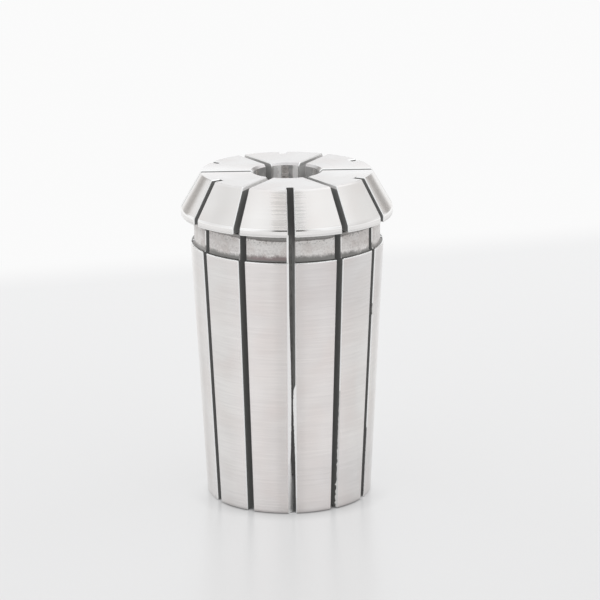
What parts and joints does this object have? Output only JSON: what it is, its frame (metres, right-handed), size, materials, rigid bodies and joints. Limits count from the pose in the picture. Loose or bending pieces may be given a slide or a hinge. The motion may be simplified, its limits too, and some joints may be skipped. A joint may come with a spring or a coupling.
{
  "type": "spring collet",
  "caption": "Double-slit spring collet: a slotted steel sleeve with a tapered body, an extraction groove, a conical nose and a through bore that closes on a round shank.",
  "frame": {"origin": "middle of the flat rear face, on the collet's axis", "axes": "+Z along the axis towards the nose; -Y is the side the picture shows, where a slot cut from the rear faces the viewer; +X lies to the viewer's right, along a slot cut from the front"},
  "size_m": [0.0254, 0.0254, 0.04],
  "materials": {
    "ground_spring_steel": "hardened spring steel, finely ground all over, with sawn slots and deburred edges"
  },
  "bodies": {
    "root": {"collet": "ground_spring_steel"}
  },
  "joints": []
}
